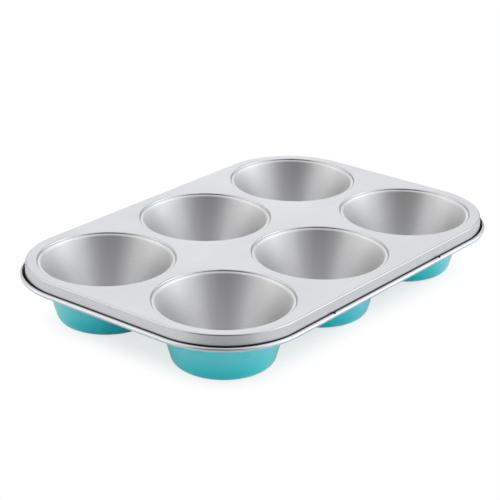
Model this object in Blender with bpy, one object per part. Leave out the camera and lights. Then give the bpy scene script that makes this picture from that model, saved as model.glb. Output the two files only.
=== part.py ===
"""Jumbo muffin pan for six large muffins, folded from sheet steel.

Lengths are in metres, +Z is up and the origin is on the table under the middle of the pan.
The pan is eight pieces: a pressed frame sheet with six flanged holes and a curled edge,
a steel wire inside that curl, and six drawn cups. Each cup ends in a rounded lip that turns
down inside its hole, runs under the hole's flange and hooks up behind it, as a lock seam.
"""

import math

import bmesh
import bpy
from mathutils import Matrix

MM = 0.001

# Sheet and fits
SHEET = 0.5 * MM
SEAM_GAP = 0.3 * MM
WIRE_GAP = 0.3 * MM

# Layout of the cups: their rows and columns, and the strip of deck left between two holes
ROWS = ("front", "back")
COLUMNS = ("left", "middle", "right")
BRIDGE_ALONG = 8.9 * MM
BRIDGE_ACROSS = 9.2 * MM

# Cup, measured on its outside
PAN_HEIGHT = 41.2 * MM
CUP_BASE_RADIUS = 31.8 * MM
CUP_BASE_FILLET = 5.8 * MM
LIP_RADIUS = 1.2 * MM
LIP_DROP = 0.2 * MM
HOOK_CLEARANCE = 0.4 * MM

# Hole in the deck, with its flange turned down
HOLE_RADIUS = 44.6 * MM
HOLE_BEND = 0.8 * MM
FLANGE_DEPTH = 3.0 * MM

# Outer edge of the frame: deck edge, flared skirt and the curl around the wire
END_MARGIN = 7.8 * MM
SIDE_MARGIN = 8.3 * MM
CORNER_RADIUS = 53.8 * MM
EDGE_BEND = 0.8 * MM
SKIRT_FLARE = 3.2

# Curl: its wide foot under the skirt, and the tighter roll that holds the wire. Angles are in
# degrees from straight out, and the roll stays more open where the sheet turns a corner.
CURL_DROP = 8.4 * MM
FOOT_RADIUS = 1.4 * MM
WIRE_RADIUS = 0.65 * MM
ROLL_START = -45.0
ROLL_END = 151.0
CORNER_ROLL_END = 83.0

# Nicks in the curl's free edge, two on each long side
NICK_PLACE = 58.5 * MM
NICK_RADIUS = 1.15 * MM
NICK_DEPTH = 2.1 * MM

# Facets: steps per full turn, per corner, per curl's foot and roll, and per nick
ROUND_STEPS = 32
CORNER_STEPS = 9
FOOT_STEPS = 3
ROLL_STEPS = 5
NICK_STEPS = 10

# Colours as linear RGB, with roughness and metallic value
DECK_FINISH = ((0.62, 0.63, 0.65), 0.42, 1.0)
CUP_FINISH = ((0.50, 0.50, 0.50), 0.38, 1.0)
COATING_FINISH = ((0.045, 0.42, 0.46), 0.35, 0.0)
WIRE_FINISH = ((0.45, 0.45, 0.46), 0.45, 1.0)
SHARP_ANGLE = math.radians(40)

# Sizes that follow from the ones above
DECK_TOP = PAN_HEIGHT
DECK_UNDERSIDE = DECK_TOP - SHEET
FLANGE_FOOT = DECK_TOP - FLANGE_DEPTH
SEAM_RADIUS = HOLE_RADIUS - SEAM_GAP
PITCH_ALONG = 2 * HOLE_RADIUS + BRIDGE_ALONG
PITCH_ACROSS = 2 * HOLE_RADIUS + BRIDGE_ACROSS
FRAME_HALF_LENGTH = (len(COLUMNS) - 1) / 2 * PITCH_ALONG + HOLE_RADIUS + END_MARGIN
FRAME_HALF_WIDTH = (len(ROWS) - 1) / 2 * PITCH_ACROSS + HOLE_RADIUS + SIDE_MARGIN
ROLL_RADIUS = WIRE_RADIUS + WIRE_GAP


def clear_scene():
    """Remove every object of the open file."""
    for item in list(bpy.data.objects):
        bpy.data.objects.remove(item, do_unlink=True)


def finish_material(name, finish):
    """Principled material from a colour, a roughness and a metallic value."""
    colour, roughness, metallic = finish
    material = bpy.data.materials.new(name)
    material.use_nodes = True
    shader = material.node_tree.nodes["Principled BSDF"]
    shader.inputs["Base Color"].default_value = (*colour, 1.0)
    shader.inputs["Roughness"].default_value = roughness
    shader.inputs["Metallic"].default_value = metallic
    return material


def cup_places():
    """Name and centre of every cup, row by row from the front left."""
    places = []
    for row, row_name in enumerate(ROWS):
        for column, column_name in enumerate(COLUMNS):
            along = (column - (len(COLUMNS) - 1) / 2) * PITCH_ALONG
            across = (row - (len(ROWS) - 1) / 2) * PITCH_ACROSS
            places.append((f"cup_{row_name}_{column_name}", (along, across)))
    return places


def arc(centre, radius, start, end, steps):
    """Points of a section on an arc about a centre, between two angles in degrees."""
    points = []
    for step in range(steps + 1):
        angle = math.radians(start + (end - start) * step / steps)
        points.append((centre[0] + radius * math.cos(angle), centre[1] + radius * math.sin(angle)))
    return points


def cup_section():
    """Half section of a cup as its food side and its underside, both from the axis to the hook.

    The wall is the line that touches the lip's inner roll and meets the table's level at
    the cup's base radius, so the taper follows from the lip, the base and the height.
    """
    lip = (SEAM_RADIUS - LIP_RADIUS, DECK_TOP - LIP_DROP - LIP_RADIUS)
    roll = LIP_RADIUS - SHEET
    run = lip[0] - CUP_BASE_RADIUS
    wall = math.atan2(lip[1], run) + math.asin(roll / math.hypot(run, lip[1]))
    wall_side = math.degrees(wall) - 90
    lip_side = math.degrees(wall) + 90
    corner = (CUP_BASE_RADIUS - CUP_BASE_FILLET * math.tan(wall / 2), CUP_BASE_FILLET)
    fold = (HOLE_RADIUS + SHEET / 2, FLANGE_FOOT - SEAM_GAP / 2)
    fold_inside = SHEET / 2 + SEAM_GAP
    fold_outside = fold_inside + SHEET
    hook_top = DECK_UNDERSIDE - HOOK_CLEARANCE

    food_side = [(0.0, SHEET)]
    food_side += arc(corner, CUP_BASE_FILLET - SHEET, -90, wall_side, 2)
    food_side += arc(lip, LIP_RADIUS, lip_side, 0, 4)
    food_side += arc(fold, fold_inside, -180, 0, 2)
    food_side.append((fold[0] + fold_inside, hook_top))

    underside = [(0.0, 0.0)]
    underside += arc(corner, CUP_BASE_FILLET, -90, wall_side, 3)
    underside += arc(lip, roll, lip_side, 0, 2)
    underside += arc(fold, fold_outside, -180, 0, 3)
    underside.append((fold[0] + fold_outside, hook_top))
    return food_side, underside


def build_cup_mesh(food_finish, coat_finish):
    """Spin the cup's section about its axis into one closed sheet-metal cup."""
    food_side, underside = cup_section()
    mesh = bmesh.new()
    corners = [mesh.verts.new((r, 0.0, z)) for r, z in food_side + underside[::-1]]
    edges = [mesh.edges.new(pair) for pair in zip(corners, corners[1:])]
    bmesh.ops.spin(mesh, geom=corners + edges, axis=(0, 0, 1), cent=(0, 0, 0),
                   steps=ROUND_STEPS, angle=math.tau, use_merge=True)
    bmesh.ops.remove_doubles(mesh, verts=mesh.verts[:], dist=SHEET / 1000)
    bmesh.ops.recalc_face_normals(mesh, faces=mesh.faces[:])

    coated = {(round(r / MM, 3), round(z / MM, 3)) for r, z in underside}
    for face in mesh.faces:
        places = {(round(math.hypot(v.co.x, v.co.y) / MM, 3), round(v.co.z / MM, 3)) for v in face.verts}
        face.material_index = int(places <= coated)
    data = bpy.data.meshes.new("cup")
    data.materials.append(food_finish)
    data.materials.append(coat_finish)
    mesh.to_mesh(data)
    mesh.free()
    data.shade_smooth()
    data.set_sharp_from_angle(angle=SHARP_ANGLE)
    return data


def add_cups():
    """Place one cup in each hole, all from the same drawn shape."""
    data = build_cup_mesh(finish_material("cup_bare_steel", CUP_FINISH),
                          finish_material("cup_coating", COATING_FINISH))
    for name, centre in cup_places():
        cup = bpy.data.objects.new(name, data)
        cup.location = (*centre, 0.0)
        bpy.context.collection.objects.link(cup)


def hole_loop(mesh, centre, radius, height):
    """Corners around a hole, at the same angles as the facets of the cups."""
    loop = []
    for step in range(ROUND_STEPS):
        angle = math.tau * step / ROUND_STEPS
        place = (centre[0] + radius * math.cos(angle), centre[1] + radius * math.sin(angle), height)
        loop.append(mesh.verts.new(place))
    return loop


def outline_places():
    """Turning centre, outward direction and turn share of each corner point of the frame's outline.

    The share grows from 0 at the ends of a corner to 1 in the middle of its turn.
    """
    centre_x = FRAME_HALF_LENGTH - CORNER_RADIUS
    centre_y = FRAME_HALF_WIDTH - CORNER_RADIUS
    places = []
    for quarter, (side_x, side_y) in enumerate(((1, 1), (-1, 1), (-1, -1), (1, -1))):
        for step in range(CORNER_STEPS + 1):
            turn = math.pi / 2 * step / CORNER_STEPS
            angle = turn + math.pi / 2 * quarter
            centre = (side_x * centre_x, side_y * centre_y)
            places.append((centre, (math.cos(angle), math.sin(angle)), math.sin(2 * turn)))
    return places


def outline_point(place, offset, height):
    """Point at an offset outside the frame's edge, at one place of its outline."""
    centre, direction, _ = place
    reach = CORNER_RADIUS + offset
    return (centre[0] + reach * direction[0], centre[1] + reach * direction[1], height)


def skin(mesh, loops):
    """Join loops that have the same count of corners by strips of faces."""
    for loop, following in zip(loops, loops[1:]):
        for index in range(len(loop)):
            mesh.faces.new((loop[index - 1], loop[index], following[index], following[index - 1]))


def curl_place():
    """Offset and height of the centre of the curl's foot, which runs on from the flared skirt."""
    flare = math.radians(SKIRT_FLARE)
    height = DECK_TOP - CURL_DROP
    edge = (-EDGE_BEND, DECK_TOP - EDGE_BEND)
    offset = edge[0] + (EDGE_BEND + FOOT_RADIUS) / math.cos(flare) + (edge[1] - height) * math.tan(flare)
    return offset, height


def wire_place():
    """Offset and height of the wire, in the centre of the curl's tighter roll."""
    offset, height = curl_place()
    start = math.radians(ROLL_START)
    shift = FOOT_RADIUS - ROLL_RADIUS
    return offset + shift * math.cos(start), height + shift * math.sin(start)


def edge_section(turn_share):
    """Section of the frame's outer edge, as offsets and heights from the deck's top to its underside.

    It turns over the deck's edge, runs down the flared skirt, curls outwards and up in a wide
    foot, rolls over the wire in a tighter arc, and comes back along the other face of the sheet.
    """
    edge = (-EDGE_BEND, DECK_TOP - EDGE_BEND)
    foot, wire = curl_place(), wire_place()
    foot_start = SKIRT_FLARE - 180
    roll_end = ROLL_END + (CORNER_ROLL_END - ROLL_END) * turn_share
    section = arc(edge, EDGE_BEND, 90, SKIRT_FLARE, 3)
    section += arc(foot, FOOT_RADIUS, foot_start, ROLL_START, FOOT_STEPS)
    section += arc(wire, ROLL_RADIUS, ROLL_START, roll_end, ROLL_STEPS)[1:]
    section += arc(wire, ROLL_RADIUS + SHEET, roll_end, ROLL_START, ROLL_STEPS)
    section += arc(foot, FOOT_RADIUS + SHEET, ROLL_START, foot_start, FOOT_STEPS)[1:]
    section += arc(edge, EDGE_BEND - SHEET, SKIRT_FLARE, 90, 2)
    return section


def edge_loops(mesh):
    """Loops round the frame, one for each point of its edge's section."""
    places = outline_places()
    sections = [edge_section(turn_share) for _, _, turn_share in places]
    loops = []
    for level in zip(*sections):
        loops.append([mesh.verts.new(outline_point(place, *spot)) for place, spot in zip(places, level)])
    return loops


def hole_section():
    """Section of a hole's flange, as radii and heights from the deck's top to its underside."""
    bend = (HOLE_RADIUS + HOLE_BEND, DECK_TOP - HOLE_BEND)
    section = arc(bend, HOLE_BEND, 90, 180, 2)
    section += [(HOLE_RADIUS, FLANGE_FOOT), (HOLE_RADIUS + SHEET, FLANGE_FOOT)]
    section += arc(bend, HOLE_BEND - SHEET, 180, 90, 1)
    return section


def loop_edges(mesh, loop):
    """Edges between the neighbouring corners of a closed loop."""
    return [mesh.edges.get((loop[index - 1], loop[index])) for index in range(len(loop))]


def add_nick_cutter():
    """Upright pegs on the curl's free edge that cut the nicks, kept out of the pan itself."""
    _, height = curl_place()
    free_edge = wire_place()[0] + (ROLL_RADIUS + SHEET) * math.cos(math.radians(ROLL_END))
    across = FRAME_HALF_WIDTH + free_edge + NICK_DEPTH - NICK_RADIUS
    depth = 2 * ROLL_RADIUS + SHEET
    mesh = bmesh.new()
    for side in (-1, 1):
        for end in (-1, 1):
            place = (end * NICK_PLACE, side * across, height + depth / 2)
            bmesh.ops.create_cone(mesh, cap_ends=True, segments=NICK_STEPS, radius1=NICK_RADIUS,
                                  radius2=NICK_RADIUS, depth=depth, matrix=Matrix.Translation(place))
    data = bpy.data.meshes.new("nick_cutter")
    mesh.to_mesh(data)
    mesh.free()
    cutter = bpy.data.objects.new("nick_cutter", data)
    cutter.hide_render = True
    cutter.display_type = "WIRE"
    bpy.context.collection.objects.link(cutter)
    return cutter


def add_frame():
    """Pressed sheet with a flat deck, six flanged holes, a skirt and the curled, nicked edge."""
    mesh = bmesh.new()
    strips = [edge_loops(mesh)]
    for _, centre in cup_places():
        strips.append([hole_loop(mesh, centre, radius, height) for radius, height in hole_section()])
    for strip in strips:
        skin(mesh, strip)
    for side in (0, -1):
        rims = [edge for strip in strips for edge in loop_edges(mesh, strip[side])]
        bmesh.ops.triangle_fill(mesh, use_beauty=True, use_dissolve=False, edges=rims)
    bmesh.ops.recalc_face_normals(mesh, faces=mesh.faces[:])

    data = bpy.data.meshes.new("frame_sheet")
    data.materials.append(finish_material("deck_bare_steel", DECK_FINISH))
    mesh.to_mesh(data)
    mesh.free()
    data.shade_smooth()
    data.set_sharp_from_angle(angle=SHARP_ANGLE)
    frame = bpy.data.objects.new("frame_sheet", data)
    bpy.context.collection.objects.link(frame)
    cut = frame.modifiers.new("nicks", "BOOLEAN")
    cut.operation = "DIFFERENCE"
    cut.object = add_nick_cutter()


def add_rim_wire():
    """Closed ring of wire inside the curl, a curve with a round bevel."""
    offset, height = wire_place()
    points = [outline_point(place, offset, height) for place in outline_places()]
    data = bpy.data.curves.new("rim_wire", "CURVE")
    data.dimensions = "3D"
    data.bevel_depth = WIRE_RADIUS
    data.bevel_resolution = 2
    spline = data.splines.new("POLY")
    spline.points.add(len(points) - 1)
    for point, place in zip(spline.points, points):
        point.co = (*place, 1.0)
    spline.use_cyclic_u = True
    data.materials.append(finish_material("wire_steel", WIRE_FINISH))
    bpy.context.collection.objects.link(bpy.data.objects.new("rim_wire", data))


def main():
    """Build the pan: its frame sheet, the rim wire and the cups."""
    clear_scene()
    add_frame()
    add_rim_wire()
    add_cups()


if __name__ == "__main__":
    main()
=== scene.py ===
"""Large-cup muffin pan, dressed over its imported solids.

The pan is a pressed steel frame sheet with a wired, curled rim and six drawn cups that are seamed
into its holes. The food side is bare satin steel, and the underside has a baked teal coating.
Lengths are in metres, +Z is up, and the origin is on the table under the middle of the pan.
"""

import logging
import math
from collections.abc import Callable, Sequence
from dataclasses import dataclass, field
from enum import Enum
from typing import Any

import bmesh
import bpy
from bpy.types import Material, MeshPolygon, Modifier, Node, NodeSocket, NodeTree, Object
from mathutils import Matrix, Vector


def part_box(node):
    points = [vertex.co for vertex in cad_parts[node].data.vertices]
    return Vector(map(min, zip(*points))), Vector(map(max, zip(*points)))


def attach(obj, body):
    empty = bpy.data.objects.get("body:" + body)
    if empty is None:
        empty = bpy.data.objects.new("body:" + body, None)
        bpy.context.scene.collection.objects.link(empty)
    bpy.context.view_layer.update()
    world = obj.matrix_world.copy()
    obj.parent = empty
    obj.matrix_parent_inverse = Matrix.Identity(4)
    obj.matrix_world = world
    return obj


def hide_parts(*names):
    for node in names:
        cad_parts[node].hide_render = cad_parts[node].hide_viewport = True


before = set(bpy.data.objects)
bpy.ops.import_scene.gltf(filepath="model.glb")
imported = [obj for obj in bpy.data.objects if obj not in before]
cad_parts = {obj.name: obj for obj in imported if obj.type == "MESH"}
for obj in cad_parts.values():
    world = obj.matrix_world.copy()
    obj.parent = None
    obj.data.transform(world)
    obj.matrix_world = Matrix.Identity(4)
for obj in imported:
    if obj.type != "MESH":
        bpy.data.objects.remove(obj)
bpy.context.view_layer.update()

LOG = logging.getLogger("muffin_pan")

MM = 0.001
BODY = "root"
AXIS_Y = (0.0, 1.0, 0.0)
AXIS_Z = (0.0, 0.0, 1.0)
WHITE = (1.0, 1.0, 1.0, 1.0)
NOISE_LOW = 0.3
NOISE_HIGH = 0.7
WELD_REACH = 0.002 * MM
TOLERANCE = 0.01 * MM

Point = tuple[float, float]
Place = tuple[float, float, float]


class Slot(Enum):
    """Material slots of the record, by name; no piece here uses them."""

    FRAME = "frame_steel"
    CUP = "cup_steel"
    WIRE = "wire_steel"


class Skin(Enum):
    """Material index of each side of the frame sheet, where an outside follows its inside."""

    FOOD_SIDE = 0
    UNDERSIDE = 1
    CURL_INSIDE = 2
    CURL_OUTSIDE = 3
    BEND_INSIDE = 4
    BEND_OUTSIDE = 5


def linear(code: str) -> tuple[float, float, float, float]:
    """Turn an sRGB hex colour into linear RGBA.

    Args:
        code: Six hex digits, such as "2FB4BE".

    Returns:
        Linear red, green and blue, with an alpha of 1.
    """
    channels = (int(code[start:start + 2], 16) / 255 for start in (0, 2, 4))
    return (*(c / 12.92 if c <= 0.04045 else ((c + 0.055) / 1.055) ** 2.4 for c in channels), 1.0)


def feed(tree: NodeTree, node: Node, inputs: dict[str | int, Any]) -> None:
    """Give the inputs of a node their values or links.

    Args:
        tree: Node tree that holds the node.
        node: The node.
        inputs: For each input, by name or index, a value, an output socket of another node, or
            another node that gives its first output.
    """
    for key, value in inputs.items():
        if isinstance(value, Node):
            value = value.outputs[0]
        if isinstance(value, NodeSocket):
            tree.links.new(value, node.inputs[key])
        else:
            node.inputs[key].default_value = value


def add_node(tree: NodeTree, kind: str, inputs: dict[str | int, Any] | None = None,
             **settings: Any) -> Node:
    """Add a node with its settings and its inputs.

    Args:
        tree: Node tree that takes the node.
        kind: Blender's name of the node type, without its leading ShaderNode.
        inputs: Values and links of its inputs, as feed takes them.
        **settings: Properties of the node itself.

    Returns:
        The new node.
    """
    node = tree.nodes.new(f"ShaderNode{kind}")
    for name, value in settings.items():
        setattr(node, name, value)
    feed(tree, node, inputs or {})
    return node


def noise_range(middle: float, play: float, noises: int = 1) -> dict[str, float]:
    """Ranges that turn noise into a value with some play.

    Args:
        middle: The value where the noise is middling.
        play: How far it moves to either side.
        noises: Number of noises that were added up.

    Returns:
        Inputs for a Map Range node.
    """
    return {"From Min": noises * NOISE_LOW, "From Max": noises * NOISE_HIGH,
            "To Min": middle - play, "To Max": middle + play}


def new_material(name: str) -> tuple[Material, NodeTree, Node]:
    """Start a node material.

    Args:
        name: Name of the material.

    Returns:
        The material, its node tree and its Principled shader.
    """
    material = bpy.data.materials.new(name)
    material.use_nodes = True
    return material, material.node_tree, material.node_tree.nodes["Principled BSDF"]


# Finishes


@dataclass(frozen=True)
class RolledSteel:
    """Aluminised steel sheet, rolled and pressed.

    To the eye: a pale, even grey with soft blurred reflections, a faint grain along the rolling
    direction, and a slight unevenness where the press has moved the sheet. Low down in the groove
    between the skirt and the curl, its colour is darkened to a dark grey as painted shade.
    """

    groove_height: float
    name: str = "rolled_aluminised_steel"
    colour: str = "D8D9DC"
    worn_colour: str = "D0D1D4"
    groove_shade_colour: str = "6C6E70"
    groove_shade_fade: float = 0.8 * MM
    roughness: float = 0.38
    roughness_play: float = 0.05
    grain_width: float = 0.9 * MM
    grain_length: float = 26 * MM
    cloud_size: float = 45 * MM
    grain_depth: float = 0.010 * MM
    cloud_depth: float = 0.05 * MM

    def build(self) -> Material:
        """Make the material on Object coordinates, with its grain along X."""
        material, tree, shader = new_material(self.name)
        place = add_node(tree, "TexCoord").outputs["Object"]
        # the grain is about 0.1 mm wide on real sheet, and is drawn coarser so that it shows
        stretch = (1 / self.grain_length, 1 / self.grain_width, 1 / self.grain_width)
        along = add_node(tree, "Mapping", {"Vector": place, "Scale": stretch})
        grain = add_node(tree, "TexNoise",
                         {"Vector": along, "Scale": 1.0, "Detail": 3.0, "Roughness": 0.6})
        clouds = add_node(tree, "TexNoise", {"Vector": place, "Scale": 1 / self.cloud_size})
        both = add_node(tree, "Math", {0: grain, 1: clouds}, operation="ADD")
        rough = add_node(tree, "MapRange",
                         {"Value": both, **noise_range(self.roughness, self.roughness_play, noises=2)})
        tint = add_node(tree, "Mix", {"Factor": both, "A": linear(self.colour),
                                      "B": linear(self.worn_colour)}, data_type="RGBA")
        # painted shade: the colour darkens towards the groove between the skirt and the curl
        height = add_node(tree, "SeparateXYZ", {0: place}).outputs["Z"]
        above_groove_shade = add_node(tree, "MapRange",
                         {"Value": height, "From Min": self.groove_height - self.groove_shade_fade,
                          "From Max": self.groove_height}, interpolation_type="SMOOTHSTEP")
        tint = add_node(tree, "Mix", {"Factor": above_groove_shade, "A": linear(self.groove_shade_colour),
                                      "B": tint.outputs["Result"]}, data_type="RGBA")
        cloud_bump = add_node(tree, "Bump", {"Height": clouds, "Distance": self.cloud_depth})
        bump = add_node(tree, "Bump",
                        {"Height": grain, "Distance": self.grain_depth, "Normal": cloud_bump})
        feed(tree, shader, {"Metallic": 1.0, "Base Color": tint.outputs["Result"], "Roughness": rough,
                            "Normal": bump})
        return material


@dataclass(frozen=True)
class BurnishedSteel(RolledSteel):
    """The same sheet where the die has drawn it round a bend and burnished it.

    To the eye: nearly as pale as the sheet, but glossier, so that the far side of each hole
    mirrors the dark side of the room as a thin line, and the other bends stay soft and light.
    """

    name: str = "burnished_bend_steel"
    # a little darker than the sheet: painted shade that tones down the highlights on the bends
    colour: str = "C8C9CC"
    worn_colour: str = "C0C2C5"
    roughness: float = 0.17


@dataclass(frozen=True)
class DrawnSteel:
    """Aluminised steel that a punch has drawn into a cup.

    To the eye: a little paler and more blurred than the deck, with fine draw lines around the wall
    that smear the reflections up and down it into tall light and dark bands.
    """

    name: str = "drawn_aluminised_steel"
    colour: str = "E4E4E5"
    line_colour: str = "DCDCDD"
    roughness: float = 0.45
    roughness_play: float = 0.05
    anisotropy: float = 0.8
    smear_turn: float = 0.25  # a quarter turn from round the wall to up the wall
    streaks: float = 9.0
    line_pitch: float = 0.8 * MM
    line_depth: float = 0.012 * MM
    dimple_size: float = 9 * MM
    dimple_depth: float = 0.03 * MM

    def build(self) -> Material:
        """Make the material on the cup's own turning coordinates: around, and along the profile."""
        material, tree, shader = new_material(self.name)
        turned = add_node(tree, "UVMap", uv_map=DrawnCup.UV_NAME)
        place = add_node(tree, "TexCoord").outputs["Object"]
        # the lines are an even 0.3 mm on the real cup, and are drawn coarser so that they show
        stretch = add_node(tree, "Mapping",
                           {"Vector": turned, "Scale": (self.streaks, MM / self.line_pitch, 1.0)})
        lines = add_node(tree, "TexNoise", {"Vector": stretch, "Scale": 1.0, "Roughness": 0.7})
        dimples = add_node(tree, "TexNoise", {"Vector": place, "Scale": 1 / self.dimple_size})
        tint = add_node(tree, "Mix", {"Factor": lines, "A": linear(self.colour),
                                      "B": linear(self.line_colour)}, data_type="RGBA")
        rough = add_node(tree, "MapRange",
                         {"Value": lines, **noise_range(self.roughness, self.roughness_play)})
        dimple_bump = add_node(tree, "Bump", {"Height": dimples, "Distance": self.dimple_depth})
        bump = add_node(tree, "Bump",
                        {"Height": lines, "Distance": self.line_depth, "Normal": dimple_bump})
        feed(tree, shader,
             {"Metallic": 1.0, "Anisotropic": self.anisotropy, "Anisotropic Rotation": self.smear_turn,
              "Base Color": tint.outputs["Result"], "Roughness": rough, "Normal": bump})
        return material


@dataclass(frozen=True)
class BakedCoating:
    """Teal silicone enamel, sprayed on from below and baked.

    To the eye: a clean, deep blue-green on the cups' bases that is painted paler up the walls, as
    a painted reflection of the lit floor, with a satin gloss and a very fine orange peel.
    """

    name: str = "baked_teal_enamel"
    colour: str = "02E2EC"
    painted_reflection_colour: str = "60E4EC"
    deep_colour_height: float = 5 * MM
    painted_reflection_height: float = 22 * MM
    height_play: float = 4 * MM
    roughness: float = 0.30
    roughness_play: float = 0.03
    ior: float = 1.45
    coat_weight: float = 0.25
    coat_roughness: float = 0.18
    sheen: float = 0.9
    sheen_roughness: float = 0.45
    peel_size: float = 1.1 * MM
    peel_depth: float = 0.006 * MM
    cloud_size: float = 30 * MM

    def dress(self, tree: NodeTree, shader: Node) -> None:
        """Give a Principled shader this coating.

        Args:
            tree: Node tree of the material.
            shader: Principled shader to set.
        """
        place = add_node(tree, "TexCoord").outputs["Object"]
        peel = add_node(tree, "TexNoise", {"Vector": place, "Scale": 1 / self.peel_size, "Detail": 1.0})
        clouds = add_node(tree, "TexNoise", {"Vector": place, "Scale": 1 / self.cloud_size})
        height = add_node(tree, "SeparateXYZ", {0: place}).outputs["Z"]
        # painted reflection: the colour pales up the walls, unevenly with the clouds
        uneven = add_node(tree, "Math",
                          {0: clouds, 1: self.height_play, 2: height}, operation="MULTIPLY_ADD")
        painted_reflection = add_node(tree, "MapRange",
                        {"Value": uneven, "From Min": self.deep_colour_height, "From Max": self.painted_reflection_height},
                        interpolation_type="SMOOTHSTEP")
        tint = add_node(tree, "Mix", {"Factor": painted_reflection, "A": linear(self.colour),
                                      "B": linear(self.painted_reflection_colour)}, data_type="RGBA")
        rough = add_node(tree, "MapRange",
                         {"Value": clouds, **noise_range(self.roughness, self.roughness_play)})
        bump = add_node(tree, "Bump", {"Height": peel, "Distance": self.peel_depth})
        feed(tree, shader,
             {"IOR": self.ior, "Coat IOR": self.ior, "Coat Weight": self.coat_weight,
              "Coat Roughness": self.coat_roughness, "Sheen Weight": self.sheen,
              "Sheen Roughness": self.sheen_roughness, "Base Color": tint.outputs["Result"],
              "Roughness": rough, "Normal": bump, "Coat Normal": bump})

    def build(self) -> Material:
        """Make the material for the sprayed underside."""
        material, tree, shader = new_material(self.name)
        self.dress(tree, shader)
        return material


@dataclass(frozen=True)
class OversprayedRim:
    """The outside of the curl: bare steel that the teal spray has caught from below.

    To the eye: a bright bead of steel with a thin teal edge underneath, which fades upwards.
    """

    steel: RolledSteel
    coating: BakedCoating
    spray_height: float
    name: str = "oversprayed_rim_steel"
    fade: float = 0.35 * MM
    speckle_size: float = 2.5 * MM
    grain_size: float = 6 * MM
    roughness: float = 0.33
    roughness_play: float = 0.04

    def build(self) -> Material:
        """Make the material, mixed by height with a slightly uneven edge."""
        material, tree, steel = new_material(self.name)
        coating = add_node(tree, "BsdfPrincipled")
        self.coating.dress(tree, coating)
        place = add_node(tree, "TexCoord").outputs["Object"]
        grain = add_node(tree, "TexNoise",
                         {"Vector": place, "Scale": 1 / self.grain_size, "Detail": 3.0})
        tint = add_node(tree, "Mix", {"Factor": grain, "A": linear(self.steel.colour),
                                      "B": linear(self.steel.worn_colour)}, data_type="RGBA")
        rough = add_node(tree, "MapRange",
                         {"Value": grain, **noise_range(self.roughness, self.roughness_play)})
        feed(tree, steel, {"Metallic": 1.0, "Base Color": tint.outputs["Result"], "Roughness": rough})
        height = add_node(tree, "SeparateXYZ", {0: place}).outputs["Z"]
        speckle = add_node(tree, "TexNoise",
                           {"Vector": place, "Scale": 1 / self.speckle_size, "Detail": 3.0})
        edge = add_node(tree, "Math", {0: speckle, 1: self.fade, 2: height}, operation="MULTIPLY_ADD")
        cover = add_node(tree, "MapRange",
                         {"Value": edge, "From Min": self.spray_height - self.fade / 2,
                          "From Max": self.spray_height + 3 * self.fade / 2, "To Min": 1.0,
                          "To Max": 0.0}, interpolation_type="SMOOTHSTEP")
        mix = add_node(tree, "MixShader", {0: cover, 1: steel, 2: coating})
        feed(tree, tree.nodes["Material Output"], {"Surface": mix})
        return material


@dataclass(frozen=True)
class DrawnWire:
    """Mild steel wire, drawn through a die and left bare.

    To the eye: a dull mid grey, darker than bare steel as painted shade of the curl around it,
    with fine die lines along its length.
    """

    name: str = "drawn_steel_wire"
    # darker than bare steel: painted shade where the wire shows through the nicks and open corners
    colour: str = "6A6B6D"
    dark_colour: str = "58595B"
    roughness: float = 0.42
    line_width: float = 0.35 * MM
    line_length: float = 50 * MM
    line_depth: float = 0.01 * MM

    def build(self) -> Material:
        """Make the material on the wire's own coordinates: along it, and around it."""
        material, tree, shader = new_material(self.name)
        run = add_node(tree, "UVMap", uv_map=RimWire.UV_NAME)
        # die lines are far finer on real wire, and are drawn coarser so that they show
        stretch = add_node(tree, "Mapping",
                           {"Vector": run, "Scale": (MM / self.line_length, MM / self.line_width, 1.0)})
        lines = add_node(tree, "TexNoise", {"Vector": stretch, "Scale": 1.0})
        tint = add_node(tree, "Mix", {"Factor": lines, "A": linear(self.colour),
                                      "B": linear(self.dark_colour)}, data_type="RGBA")
        bump = add_node(tree, "Bump", {"Height": lines, "Distance": self.line_depth})
        feed(tree, shader, {"Metallic": 1.0, "Roughness": self.roughness,
                            "Base Color": tint.outputs["Result"], "Normal": bump})
        return material


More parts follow.
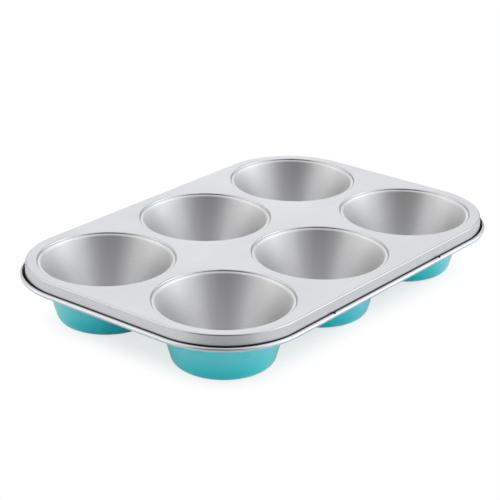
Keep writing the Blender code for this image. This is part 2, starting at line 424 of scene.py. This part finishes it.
@dataclass(frozen=True)
class PaperSweep:
    """White seamless paper under the pan.

    To the eye: plain white, with a soft grey shadow round the cups. The camera sees the paper glow,
    at full white far from the cups and a little less close to them, where the shadow shows. A patch
    in front of the pan is grey under that glow, so that only the steel has something darker to mirror.
    """

    cup_place: Point
    name: str = "white_paper_sweep"
    colour: str = "F8F8F8"
    roughness: float = 0.9
    shade_colour: str = "B8B8B8"
    shade_place: Point = (-250 * MM, -180 * MM)
    shade_reach: float = 150 * MM
    shadow_reach: Point = (18 * MM, 48 * MM)
    shadow_glow: float = 0.72
    glow_in_metal: float = 0.08

    def glow_near_cups(self, tree: NodeTree, place: NodeSocket) -> Node:
        """Share of white that the camera sees, by the distance outside the cup centres' rectangle.

        Args:
            tree: Node tree of the material.
            place: Place on the floor.

        Returns:
            The node that gives the share.
        """
        far = add_node(tree, "VectorMath", {0: place}, operation="ABSOLUTE")
        past = add_node(tree, "VectorMath", {0: far, 1: (*self.cup_place, 0.0)}, operation="SUBTRACT")
        outward = add_node(tree, "VectorMath", {0: past, 1: (0.0, 0.0, 0.0)}, operation="MAXIMUM")
        away = add_node(tree, "VectorMath", {0: outward}, operation="LENGTH")
        start, end = self.shadow_reach
        return add_node(tree, "MapRange",
                        {"Value": away.outputs["Value"], "From Min": start, "From Max": end,
                         "To Min": self.shadow_glow, "To Max": 1.0}, interpolation_type="SMOOTHSTEP")

    def build(self) -> Material:
        """Make the material on Object coordinates."""
        material, tree, shader = new_material(self.name)
        place = add_node(tree, "TexCoord").outputs["Object"]
        aside = add_node(tree, "VectorMath",
                         {0: place, 1: (*self.shade_place, 0.0)}, operation="DISTANCE")
        unshaded = add_node(tree, "MapRange",
                            {"Value": aside.outputs["Value"], "From Min": self.shade_reach / 2,
                             "From Max": self.shade_reach}, interpolation_type="SMOOTHSTEP")
        paper = add_node(tree, "Mix", {"Factor": unshaded, "A": linear(self.shade_colour),
                                       "B": linear(self.colour)}, data_type="RGBA")
        feed(tree, shader, {"Base Color": paper.outputs["Result"], "Roughness": self.roughness,
                            "Specular IOR Level": 0.0})
        path = add_node(tree, "LightPath")
        bent = add_node(tree, "Math", {0: path.outputs["Is Glossy Ray"],
                                       1: path.outputs["Is Transmission Ray"]}, operation="MAXIMUM")
        dim = add_node(tree, "Math", {0: unshaded, 1: self.glow_in_metal}, operation="MULTIPLY")
        faint = add_node(tree, "Math", {0: bent, 1: dim}, operation="MULTIPLY")
        share = add_node(tree, "Math",
                         {0: path.outputs["Is Camera Ray"], 1: self.glow_near_cups(tree, place),
                          2: faint}, operation="MULTIPLY_ADD")
        glow = add_node(tree, "Emission", {"Color": WHITE})
        both = add_node(tree, "MixShader", {0: share, 1: shader, 2: glow})
        feed(tree, tree.nodes["Material Output"], {"Surface": both})
        return material


# Modelling


@dataclass
class Bench:
    """A mesh piece on the bench, drawn and swept in edit mode the way it would be by hand."""

    piece: Object
    tip: Vector = field(default_factory=Vector)

    @classmethod
    def start(cls, name: str, point: Point) -> "Bench":
        """Start a piece as a single corner in the XZ plane.

        Args:
            name: Name of the piece.
            point: X and Z of the corner.

        Returns:
            The bench with the piece in edit mode.
        """
        bpy.ops.object.select_all(action="DESELECT")
        bpy.ops.mesh.primitive_plane_add(size=MM)
        piece = bpy.context.object
        piece.name = piece.data.name = name
        bpy.ops.object.mode_set(mode="EDIT")
        bpy.ops.mesh.select_all(action="SELECT")
        bpy.ops.mesh.merge(type="CENTER")
        tip = Vector((point[0], 0.0, point[1]))
        bpy.ops.transform.translate(value=tip)
        return cls(piece, tip)

    def line(self, point: Point) -> None:
        """Extrude the drawn section to a point of the XZ plane.

        Args:
            point: X and Z of the point.
        """
        target = Vector((point[0], 0.0, point[1]))
        bpy.ops.mesh.extrude_vertices_move(TRANSFORM_OT_translate={"value": target - self.tip})
        self.tip = target

    def arc(self, centre: Point, degrees: float, steps: int) -> None:
        """Spin the end of the drawn section about a centre in the XZ plane.

        Args:
            centre: X and Z of the centre.
            degrees: Angle of the turn, counter-clockwise if positive.
            steps: Number of straight pieces in the turn.
        """
        # mesh.spin turns left-handed about its axis
        hub = Vector((centre[0], 0.0, centre[1]))
        bpy.ops.mesh.spin(steps=steps, angle=math.radians(degrees), center=hub, axis=AXIS_Y,
                          dupli=False, use_auto_merge=False)
        self.tip = hub + Matrix.Rotation(-math.radians(degrees), 3, "Y") @ (self.tip - hub)

    def push(self, value: Place) -> None:
        """Extrude the selected end of the sweep along a straight."""
        bpy.ops.mesh.extrude_region_move(TRANSFORM_OT_translate={"value": value})

    def sweep(self, centre: Place, degrees: float, steps: int) -> None:
        """Spin the selected end of the sweep about an upright axis, counter-clockwise."""
        bpy.ops.mesh.spin(steps=steps, angle=-math.radians(degrees), center=centre, axis=AXIS_Z,
                          dupli=False, use_auto_merge=False)

    def pick_edges(self, test: Callable[[bmesh.types.BMEdge], bool]) -> None:
        """Select the edges that pass a test, and nothing else.

        Args:
            test: Called with each edge.
        """
        bpy.ops.mesh.select_mode(type="EDGE")
        bpy.ops.mesh.select_all(action="DESELECT")
        mesh = bmesh.from_edit_mesh(self.piece.data)
        for edge in mesh.edges:
            if test(edge):
                edge.select_set(True)
        mesh.select_flush_mode()
        bmesh.update_edit_mesh(self.piece.data)

    def weld(self) -> None:
        """Merge the corners that lie on each other, and turn the faces alike."""
        bpy.ops.mesh.select_mode(type="VERT")
        bpy.ops.mesh.select_all(action="SELECT")
        bpy.ops.mesh.remove_doubles(threshold=WELD_REACH)
        bpy.ops.mesh.normals_make_consistent(inside=False)

    def face(self, test: Callable[[MeshPolygon], bool], way: Place) -> None:
        """Flip all faces if those that pass a test point against a direction, and end edit mode.

        Args:
            test: Called with each face.
            way: The direction.
        """
        bpy.ops.object.mode_set(mode="OBJECT")
        lean = sum(p.normal.dot(Vector(way)) * p.area for p in self.piece.data.polygons if test(p))
        if lean < 0:
            bpy.ops.object.mode_set(mode="EDIT")
            bpy.ops.mesh.select_all(action="SELECT")
            bpy.ops.mesh.flip_normals()
            bpy.ops.object.mode_set(mode="OBJECT")

    def activate(self) -> None:
        """Select this piece and nothing else, and make it the active one."""
        bpy.ops.object.select_all(action="DESELECT")
        self.piece.select_set(True)
        bpy.context.view_layer.objects.active = self.piece

    def apply(self, modifier: Modifier) -> None:
        """Apply one modifier to the piece."""
        self.activate()
        bpy.ops.object.modifier_apply(modifier=modifier.name)

    def thicken(self, thickness: float) -> None:
        """Give the drawn sheet its thickness behind its faces, with the next material there.

        Args:
            thickness: Thickness of the sheet.
        """
        solidify = self.piece.modifiers.new("sheet", "SOLIDIFY")
        solidify.thickness = thickness
        solidify.offset = -1.0
        solidify.use_even_offset = True
        solidify.material_offset = 1
        self.apply(solidify)

    def smooth(self, degrees: float = 35.0) -> None:
        """Shade the piece smooth, with its folds kept sharp."""
        self.activate()
        bpy.ops.object.shade_smooth_by_angle(angle=math.radians(degrees))


def spread_out(pattern: Object, centres: Sequence[Point]) -> list[Object]:
    """Move a piece that was made at the origin to the first cup's place, and copy it to the others.

    Args:
        pattern: The piece.
        centres: X and Y of each cup.

    Returns:
        The piece and its copies, each with its own mesh, in the order of the centres.
    """
    pieces = [pattern]
    for _ in centres[1:]:
        copy = pattern.copy()
        copy.data = pattern.data.copy()
        bpy.context.collection.objects.link(copy)
        pieces.append(copy)
    for piece, (x, y) in zip(pieces, centres):
        piece.data.transform(Matrix.Translation((x, y, 0.0)))
    return pieces


def hand_over(piece: Object, node: str) -> None:
    """Tie a finished piece to the frame and report it.

    Args:
        piece: The finished piece.
        node: CAD node that it stands for.
    """
    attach(piece, BODY)
    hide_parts(node)
    low, high = (Vector(corner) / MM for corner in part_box(node))
    LOG.info("%s: %d faces, CAD box %.1f x %.1f x %.1f mm", piece.name, len(piece.data.polygons),
             *(high - low))


@dataclass
class RimWire:
    """Steel wire, closed into a ring inside the curl of the rim."""

    UV_NAME = "run"

    node: str = "rim_wire"
    radius: float = 0.65 * MM
    corner_radius: float = 55.925 * MM
    sides: int = 20
    corner_steps: int = 40
    fold_angle: float = 60.0
    half_length: float = field(init=False)
    half_width: float = field(init=False)
    height: float = field(init=False)
    corner: Point = field(init=False)

    def __post_init__(self) -> None:
        """Read the wire's centre line and the middle of its corner's turn from its CAD node."""
        low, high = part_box(self.node)
        self.half_length = high.x - self.radius
        self.half_width = high.y - self.radius
        self.height = (low.z + high.z) / 2
        self.corner = (self.half_length - self.corner_radius, self.half_width - self.corner_radius)

    def offset(self, x: float, y: float) -> float:
        """Distance of a point outside the wire's line, seen from above.

        Args:
            x: X of the point.
            y: Y of the point.

        Returns:
            The distance, negative inside.
        """
        across_x, across_y = abs(x) - self.corner[0], abs(y) - self.corner[1]
        outside = math.hypot(max(across_x, 0.0), max(across_y, 0.0))
        return outside + min(max(across_x, across_y), 0.0) - self.corner_radius

    def corner_share(self, x: float, y: float) -> float:
        """How far into a corner of the ring a point lies.

        Args:
            x: X of the point.
            y: Y of the point.

        Returns:
            0 on the straights, up to 1 in the middle of the turn.
        """
        across_x, across_y = abs(x) - self.corner[0], abs(y) - self.corner[1]
        if across_x <= 0 or across_y <= 0:
            return 0.0
        return math.sin(2 * math.atan2(across_y, across_x))

    def run_round(self, bench: Bench) -> None:
        """Sweep the selected section once around the pan, from the right side's front end.

        Args:
            bench: The bench with the section.
        """
        x, y = self.corner
        turns = (((0.0, 2 * y, 0.0), (x, y, 0.0)), ((-2 * x, 0.0, 0.0), (-x, y, 0.0)),
                 ((0.0, -2 * y, 0.0), (-x, -y, 0.0)), ((2 * x, 0.0, 0.0), (x, -y, 0.0)))
        bpy.ops.transform.translate(value=(0.0, -y, 0.0))
        for straight, corner in turns:
            bench.push(straight)
            bench.sweep(corner, 90, self.corner_steps)

    def build(self, finish: DrawnWire) -> Object:
        """Model the wire ring.

        Args:
            finish: Finish of the wire.

        Returns:
            The finished piece.
        """
        bench = Bench.start("rim_wire_ring", (self.half_length + self.radius, self.height))
        bench.arc((self.half_length, self.height), 360, self.sides)
        bpy.ops.mesh.select_all(action="SELECT")
        self.run_round(bench)
        bench.weld()
        bpy.ops.object.mode_set(mode="OBJECT")
        self.unwrap(bench.piece)
        bench.smooth(self.fold_angle)
        bench.piece.data.materials.append(finish.build())
        return bench.piece

    def unwrap(self, piece: Object) -> None:
        """Lay the UV map: along the run in mm, and around the wire in mm.

        Args:
            piece: The wire ring.
        """
        layer = piece.data.uv_layers.new(name=self.UV_NAME)
        for polygon in piece.data.polygons:
            for loop in polygon.loop_indices:
                x, y, z = piece.data.vertices[piece.data.loops[loop].vertex_index].co
                around = math.atan2(z - self.height, self.offset(x, y)) * self.radius / MM
                along = math.atan2(y, x) * self.half_length / MM
                layer.data[loop].uv = (along, around)


@dataclass
class FrameSheet:
    """Pressed sheet: deck, six flanged holes, rounded edge, flared skirt and the wired curl."""

    wire: RimWire
    node: str = "frame_sheet"
    sheet: float = 0.5 * MM
    hole_radius: float = 44.6 * MM
    hole_bend: float = 1.2 * MM
    flange_depth: float = 3.0 * MM
    edge_bend: float = 1.0 * MM
    flare: float = 3.2
    foot_radius: float = 1.4 * MM
    roll_start: float = -45.0
    roll_end: float = 151.0
    corner_roll_end: float = 83.0
    strip: float = 0.4 * MM
    burnish_start: float = 0.05  # shares of a bend's height, from the deck down
    burnish_end: float = 0.9
    # top of the painted groove shade
    groove_shade_rise: float = 1.9 * MM  # over the middle of the foot's bend
    spray_drop: float = 0.68 * MM  # under the middle of the wire
    nick_place: float = 58.5 * MM
    nick_radius: float = 1.15 * MM
    nick_depth: float = 2.1 * MM
    nick_sides: int = 24
    hole_steps: int = 128
    hole_bend_steps: int = 8
    edge_bend_steps: int = 10
    foot_steps: int = 16
    roll_steps: int = 28
    deck_top: float = field(init=False)
    roll_radius: float = field(init=False)
    foot: Point = field(init=False)
    half_length: float = field(init=False)

    def __post_init__(self) -> None:
        """Read the deck's level and the reach of the rim from the CAD node."""
        _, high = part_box(self.node)
        self.deck_top = high.z
        self.roll_radius = high.x - self.wire.half_length - self.sheet
        start, flare = math.radians(self.roll_start), math.radians(self.flare)
        shift = self.foot_radius - self.roll_radius
        self.foot = (self.wire.half_length - shift * math.cos(start),
                     self.wire.height - shift * math.sin(start))
        drop = self.deck_top - self.edge_bend - self.foot[1]
        reach = (self.edge_bend + self.foot_radius) / math.cos(flare) + drop * math.tan(flare)
        self.half_length = self.foot[0] - reach + self.edge_bend

    def draw_rim(self) -> Bench:
        """Draw the section of the outer edge and run it round the pan."""
        bend = (self.half_length - self.edge_bend, self.deck_top - self.edge_bend)
        foot_start = math.radians(180 + self.flare)
        bench = Bench.start("frame_sheet_pressed", (bend[0] - self.strip, self.deck_top))
        bench.line((bend[0], self.deck_top))
        bench.arc(bend, self.flare - 90, self.edge_bend_steps)
        bench.line((self.foot[0] + self.foot_radius * math.cos(foot_start),
                    self.foot[1] + self.foot_radius * math.sin(foot_start)))
        bench.arc(self.foot, self.roll_start + 180 - self.flare, self.foot_steps)
        bench.arc((self.wire.half_length, self.wire.height), self.roll_end - self.roll_start,
                  self.roll_steps)
        bpy.ops.mesh.select_all(action="SELECT")
        self.wire.run_round(bench)
        bpy.ops.object.mode_set(mode="OBJECT")
        return bench

    def draw_hole(self) -> Bench:
        """Draw the section of a hole's flange and turn it about the hole."""
        bend = (self.hole_radius + self.hole_bend, self.deck_top - self.hole_bend)
        bench = Bench.start("hole_flange", (bend[0] + self.strip, self.deck_top))
        bench.line((bend[0], self.deck_top))
        bench.arc(bend, 90, self.hole_bend_steps)
        bench.line((self.hole_radius, self.deck_top - self.flange_depth))
        bpy.ops.mesh.select_all(action="SELECT")
        bench.sweep((0.0, 0.0, 0.0), 360, self.hole_steps)
        bench.weld()
        bpy.ops.object.mode_set(mode="OBJECT")
        return bench

    def in_curl(self, place: Vector) -> bool:
        """Whether a point of the drawn sheet lies below or outside the skirt, on the curl."""
        return place.z < self.foot[1] or self.wire.offset(place.x, place.y) > -self.foot_radius

    def in_bend(self, place: Vector, centres: Sequence[Point]) -> bool:
        """Whether a point of the drawn sheet lies on a bend, which the die burnished.

        Args:
            place: The point.
            centres: X and Y of each cup.

        Returns:
            True on the bends of the holes and of the deck's edge.
        """
        near = min((place.xy - Vector(centre)).length for centre in centres)
        drop = self.deck_top - place.z
        if near < self.hole_radius + self.hole_bend:
            return drop > self.burnish_start * self.hole_bend
        return self.burnish_start * self.edge_bend < drop < self.burnish_end * self.edge_bend

    def skin_of(self, place: Vector, centres: Sequence[Point]) -> Skin:
        """Skin of the upper side at a point of the drawn sheet."""
        if self.in_bend(place, centres):
            return Skin.BEND_INSIDE
        return Skin.CURL_INSIDE if self.in_curl(place) else Skin.FOOD_SIDE

    def ease_corners(self, piece: Object) -> None:
        """Open the roll in the corners, where the sheet had to gather and stays short.

        Args:
            piece: The drawn sheet.
        """
        for vertex in piece.data.vertices:
            x, y, z = vertex.co
            share = self.wire.corner_share(x, y)
            offset, rise = self.wire.offset(x, y), z - self.wire.height
            turned = math.degrees(math.atan2(rise, offset)) - self.roll_start
            away = math.hypot(offset, rise)
            if share == 0.0 or turned <= 0.0 or away > self.roll_radius + TOLERANCE:
                continue
            short = self.roll_end - self.corner_roll_end
            eased = 1 - share * short / (self.roll_end - self.roll_start)
            turn = math.radians(self.roll_start + turned * eased)
            corner_x, corner_y = self.wire.corner
            hub = Vector((math.copysign(corner_x, x), math.copysign(corner_y, y)))
            out = (Vector((x, y)) - hub).normalized()
            flat = hub + out * (self.wire.corner_radius + away * math.cos(turn))
            vertex.co = (flat.x, flat.y, self.wire.height + away * math.sin(turn))

    def cut_nicks(self, bench: Bench) -> None:
        """Cut the four small nicks into the free edge of the curl on the long sides.

        Args:
            bench: The bench with the thickened sheet.
        """
        free_edge = (self.roll_radius + self.sheet) * math.cos(math.radians(self.roll_end))
        across = self.wire.half_width + free_edge + self.nick_depth - self.nick_radius
        depth = 2 * self.roll_radius + self.sheet
        bpy.ops.object.select_all(action="DESELECT")
        pegs = []
        for side in (-1, 1):
            for end in (-1, 1):
                place = (end * self.nick_place, side * across, self.foot[1] + depth / 2)
                bpy.ops.mesh.primitive_cylinder_add(vertices=self.nick_sides, radius=self.nick_radius,
                                                    depth=depth, location=place)
                pegs.append(bpy.context.object)
        for peg in pegs:
            peg.select_set(True)
        bpy.context.view_layer.objects.active = pegs[0]
        bpy.ops.object.join()
        cutter = bpy.context.object
        cut = bench.piece.modifiers.new("nicks", "BOOLEAN")
        cut.operation = "DIFFERENCE"
        cut.solver = "EXACT"
        cut.object = cutter
        bench.apply(cut)
        bpy.data.objects.remove(cutter, do_unlink=True)

    def build(self, centres: Sequence[Point], finishes: dict[Skin, Material]) -> Object:
        """Model the frame sheet.

        Args:
            centres: X and Y of each cup.
            finishes: Material of each side of the sheet.

        Returns:
            The finished piece.
        """
        bench = self.draw_rim()
        flanges = spread_out(self.draw_hole().piece, centres)
        bench.activate()
        for flange in flanges:
            flange.select_set(True)
        bpy.ops.object.join()
        bpy.ops.object.mode_set(mode="EDIT")
        bench.weld()
        bench.pick_edges(lambda edge: edge.is_boundary
                         and all(abs(v.co.z - self.deck_top) < TOLERANCE for v in edge.verts))
        bpy.ops.mesh.fill(use_beauty=True)
        bench.weld()
        bench.face(lambda p: p.center.z > self.deck_top - TOLERANCE, AXIS_Z)
        for skin in Skin:
            bench.piece.data.materials.append(finishes[skin])
        for polygon in bench.piece.data.polygons:
            polygon.material_index = self.skin_of(polygon.center, centres).value
        self.ease_corners(bench.piece)
        bench.thicken(self.sheet)
        self.cut_nicks(bench)
        bench.smooth()
        return bench.piece


@dataclass
class DrawnCup:
    """Drawn cup with a flat base, a tapered wall, and a rolled lip that locks under the deck."""

    UV_NAME = "turning"

    deck: FrameSheet
    seam_gap: float = 0.1 * MM
    base_radius: float = 31.8 * MM
    base_fillet: float = 5.8 * MM
    lip_radius: float = 1.6 * MM
    lip_flat: float = 0.4 * MM
    lip_edge_radius: float = 0.3 * MM
    lip_drop: float = 0.95 * MM
    hook_clearance: float = 0.4 * MM
    turn_steps: int = 128
    fillet_steps: int = 12
    lip_steps: int = 16
    lip_edge_steps: int = 8
    fold_steps: int = 12

    def draw(self) -> Bench:
        """Draw the cup's food side from the axis to the hook, and turn it about its axis.

        Returns:
            The bench with the turned sheet.
        """
        sheet, hole_radius, deck_top = self.deck.sheet, self.deck.hole_radius, self.deck.deck_top
        seam_radius = hole_radius - self.seam_gap
        lip_top = deck_top - self.lip_drop
        edge = (seam_radius - self.lip_edge_radius, lip_top - self.lip_edge_radius)
        lip = (edge[0] - self.lip_flat, lip_top - self.lip_radius)
        roll = self.lip_radius - sheet
        run = lip[0] - self.base_radius
        slope = math.atan2(lip[1], run) + math.asin(roll / math.hypot(run, lip[1]))
        wall = math.degrees(slope)
        corner = (self.base_radius - self.base_fillet * math.tan(slope / 2), self.base_fillet)
        fold = (hole_radius + sheet / 2, deck_top - self.deck.flange_depth - self.seam_gap / 2)
        fold_inside = sheet / 2 + self.seam_gap
        lip_start = (lip[0] + self.lip_radius * math.cos(slope + math.pi / 2),
                     lip[1] + self.lip_radius * math.sin(slope + math.pi / 2))

        bench = Bench.start("cup", (0.0, sheet))
        bench.line((corner[0] / 2, sheet))
        bench.line((corner[0], sheet))
        bench.arc(corner, wall, self.fillet_steps)
        bench.line(lip_start)
        bench.arc(lip, -wall, self.lip_steps)
        bench.line((edge[0], lip_top))
        bench.arc(edge, -90, self.lip_edge_steps)
        bench.line((fold[0] - fold_inside, fold[1]))
        bench.arc(fold, 180, self.fold_steps)
        bench.line((fold[0] + fold_inside, deck_top - sheet - self.hook_clearance))
        bpy.ops.mesh.select_all(action="SELECT")
        bench.sweep((0.0, 0.0, 0.0), 360, self.turn_steps)
        bench.weld()
        bench.face(lambda p: p.center.xy.length < corner[0], AXIS_Z)
        return bench

    def unwrap(self, piece: Object) -> None:
        """Lay the UV map: turns around the axis, and millimetres along the profile.

        Args:
            piece: The cup, at the origin.
        """
        layer = piece.data.uv_layers.new(name=self.UV_NAME)
        for polygon in piece.data.polygons:
            middle = math.atan2(polygon.center.y, polygon.center.x)
            for loop in polygon.loop_indices:
                x, y, z = piece.data.vertices[piece.data.loops[loop].vertex_index].co
                away = math.hypot(x, y)
                lead = math.remainder(math.atan2(y, x) - middle, math.tau) if away > MM else 0.0
                layer.data[loop].uv = ((middle + lead) / math.tau, (away + z) / MM)

    def build(self, food_side: Material, underside: Material) -> Object:
        """Model one cup at the origin.

        Args:
            food_side: Material of the inside.
            underside: Material of the outside.

        Returns:
            The finished cup, which the others are copied from.
        """
        bench = self.draw()
        bench.piece.data.materials.append(food_side)
        bench.piece.data.materials.append(underside)
        bench.thicken(self.deck.sheet)
        self.unwrap(bench.piece)
        bench.smooth()
        return bench.piece


@dataclass(frozen=True)
class LitWall:
    """Upright stretch of the studio's wall, or sector of its ceiling, that glows softly.

    The turn is in degrees from the camera's side of the room to the picture's right. The glow is
    strongest there, and fades evenly to nothing at the reach to either side.
    """

    turn: float
    strength: float
    reach: float = 30.0
    overhead: bool = False
    colour: str = "FFFFFF"


@dataclass
class Studio:
    """Pale sweep, soft light and the camera at the photograph's viewing angle."""

    deck_top: float
    cup_place: Point
    walls: tuple[LitWall, ...] = (
        LitWall(turn=0, strength=0.08),
        LitWall(turn=30, strength=0.3, colour="F9FBFF"),
        LitWall(turn=60, strength=1.25, colour="F9FBFF"),
        LitWall(turn=90, strength=2.15, colour="F9FBFF"),
        LitWall(turn=120, strength=1.68, colour="F9FBFF"),
        LitWall(turn=150, strength=0.65),
        LitWall(turn=180, strength=1.24),
        LitWall(turn=210, strength=0.7),
        LitWall(turn=240, strength=1.3, colour="FFFEFC"),
        LitWall(turn=270, strength=1.55, colour="FFFEFC"),
        LitWall(turn=300, strength=1.0, colour="FFFEFC"),
        LitWall(turn=330, strength=0.12),
        LitWall(turn=0, strength=0.4, reach=90, overhead=True),
        LitWall(turn=90, strength=1.3, reach=90, overhead=True),
        LitWall(turn=180, strength=0.95, reach=90, overhead=True),
        LitWall(turn=270, strength=1.2, reach=90, overhead=True),
    )
    ceiling_start: float = 35.0
    ceiling_full: float = 65.0

    azimuth: float = -51.34
    elevation: float = 22.445
    roll: float = 0.765
    distance: float = 1.1018
    aim: Point = (-27.4 * MM, -12.6 * MM)
    focal_pixels: float = 1684.6
    picture_pixels: float = 500.0
    sensor: float = 36.0
    nearest: float = 0.02
    farthest: float = 50.0
    floor_size: float = 8.0
    floor_drop: float = 0.1 * MM

    def axes(self) -> tuple[Vector, Vector]:
        """Level directions to the picture's right and away from the camera."""
        turn = math.radians(self.azimuth)
        return (Vector((math.cos(turn), math.sin(turn), 0.0)),
                Vector((-math.sin(turn), math.cos(turn), 0.0)))

    def place_camera(self) -> None:
        """Stand the camera where the photograph was taken from."""
        turn, tilt, roll = (math.radians(a) for a in (self.azimuth, self.elevation, self.roll))
        right, _ = self.axes()
        level_reach = math.cos(tilt)
        back = Vector((math.sin(turn) * level_reach, -math.cos(turn) * level_reach, math.sin(tilt)))
        level = Matrix((right, back.cross(right), back)).transposed()
        rotation = level @ Matrix.Rotation(roll, 3, "Z")
        data = bpy.data.cameras.new("photo_camera")
        data.sensor_width = self.sensor
        data.lens = self.sensor * self.focal_pixels / self.picture_pixels
        data.clip_start = self.nearest
        data.clip_end = self.farthest
        camera = bpy.data.objects.new("photo_camera", data)
        bpy.context.scene.collection.objects.link(camera)
        spot = Vector((*self.aim, self.deck_top)) + back * self.distance
        camera.matrix_world = Matrix.Translation(spot) @ rotation.to_4x4()
        bpy.context.scene.camera = camera

    def lay_floor(self) -> None:
        """Lay the white sweep that the pan stands on."""
        bpy.ops.object.select_all(action="DESELECT")
        bpy.ops.mesh.primitive_plane_add(size=self.floor_size, location=(0.0, 0.0, -self.floor_drop))
        floor = bpy.context.object
        floor.name = "studio_floor"
        floor.data.materials.append(PaperSweep(self.cup_place).build())

    def glow_of(self, tree: NodeTree, wall: LitWall, level: Node, height: Node) -> Node:
        """Colour that one wall sends along a direction.

        Args:
            tree: Node tree of the world.
            wall: The wall or the sector of the ceiling.
            level: The direction laid level, one long.
            height: Angle of the direction over the floor, in radians.

        Returns:
            The node that gives the colour.
        """
        right, away = self.axes()
        turn = math.radians(wall.turn)
        middle = right * math.sin(turn) - away * math.cos(turn)
        near = add_node(tree, "VectorMath", {0: level, 1: middle}, operation="DOT_PRODUCT")
        aside = add_node(tree, "Math", {0: near.outputs["Value"]}, operation="ARCCOSINE")
        across = add_node(tree, "MapRange", {"Value": aside, "From Min": math.radians(wall.reach),
                                             "From Max": 0.0}, interpolation_type="SMOOTHSTEP")
        dark, full = self.ceiling_start, self.ceiling_full
        if not wall.overhead:
            dark, full = full, dark
        upward = add_node(tree, "MapRange",
                          {"Value": height, "From Min": math.radians(dark),
                           "From Max": math.radians(full)}, interpolation_type="SMOOTHSTEP")
        share = add_node(tree, "Math", {0: across, 1: upward}, operation="MULTIPLY")
        colour = Vector(linear(wall.colour)[:3]) * wall.strength
        return add_node(tree, "VectorMath", {0: colour, "Scale": share}, operation="SCALE")

    def light_world(self) -> None:
        """Surround the pan with softly lit walls, and show the camera a white backdrop."""
        world = bpy.data.worlds.new("studio_room")
        bpy.context.scene.world = world
        world.use_nodes = True
        tree = world.node_tree
        tree.nodes.clear()
        look = add_node(tree, "TexCoord").outputs["Generated"]
        flat = add_node(tree, "VectorMath", {0: look, 1: (1.0, 1.0, 0.0)}, operation="MULTIPLY")
        level = add_node(tree, "VectorMath", {0: flat}, operation="NORMALIZE")
        rise = add_node(tree, "SeparateXYZ", {0: look}).outputs["Z"]
        height = add_node(tree, "Math", {0: rise}, operation="ARCSINE")
        total, *others = (self.glow_of(tree, wall, level, height) for wall in self.walls)
        for glow in others:
            total = add_node(tree, "VectorMath", {0: total, 1: glow}, operation="ADD")
        room = add_node(tree, "Background", {"Color": total})
        backdrop = add_node(tree, "Background", {"Color": WHITE})
        path = add_node(tree, "LightPath")
        mix = add_node(tree, "MixShader", {0: path.outputs["Is Camera Ray"], 1: room, 2: backdrop})
        add_node(tree, "OutputWorld", {"Surface": mix})

    def build(self) -> None:
        """Set up the floor, the light and the camera."""
        self.lay_floor()
        self.light_world()
        self.place_camera()
        bpy.context.scene.view_settings.view_transform = "Standard"


def cup_centres() -> dict[str, Point]:
    """Name and centre of every cup, read from the CAD nodes."""
    centres = {}
    for row in ("front", "back"):
        for column in ("left", "middle", "right"):
            low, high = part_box(f"cup_{row}_{column}")
            centres[f"cup_{row}_{column}"] = ((low.x + high.x) / 2, (low.y + high.y) / 2)
    return centres


def main() -> None:
    """Build the pan piece by piece and set up the studio."""
    logging.basicConfig(level=logging.INFO, format="%(name)s: %(message)s")
    nodes = cup_centres()
    centres = list(nodes.values())
    wire = RimWire()
    sheet = FrameSheet(wire)
    steel, coating = RolledSteel(groove_height=sheet.foot[1] + sheet.groove_shade_rise), BakedCoating()
    bare, teal = steel.build(), coating.build()
    rim = OversprayedRim(steel, coating, spray_height=wire.height - sheet.spray_drop).build()
    bend = BurnishedSteel(groove_height=steel.groove_height).build()
    skins = {Skin.FOOD_SIDE: bare, Skin.UNDERSIDE: teal, Skin.CURL_INSIDE: bare,
             Skin.CURL_OUTSIDE: rim, Skin.BEND_INSIDE: bend, Skin.BEND_OUTSIDE: teal}

    hand_over(sheet.build(centres, skins), sheet.node)
    hand_over(wire.build(DrawnWire()), wire.node)
    pattern = DrawnCup(sheet).build(DrawnSteel().build(), teal)
    for cup, node in zip(spread_out(pattern, centres), nodes):
        cup.name = cup.data.name = f"{node}_drawn"
        hand_over(cup, node)

    Studio(sheet.deck_top, cup_place=nodes["cup_back_right"]).build()


if __name__ == "__main__":
    main()
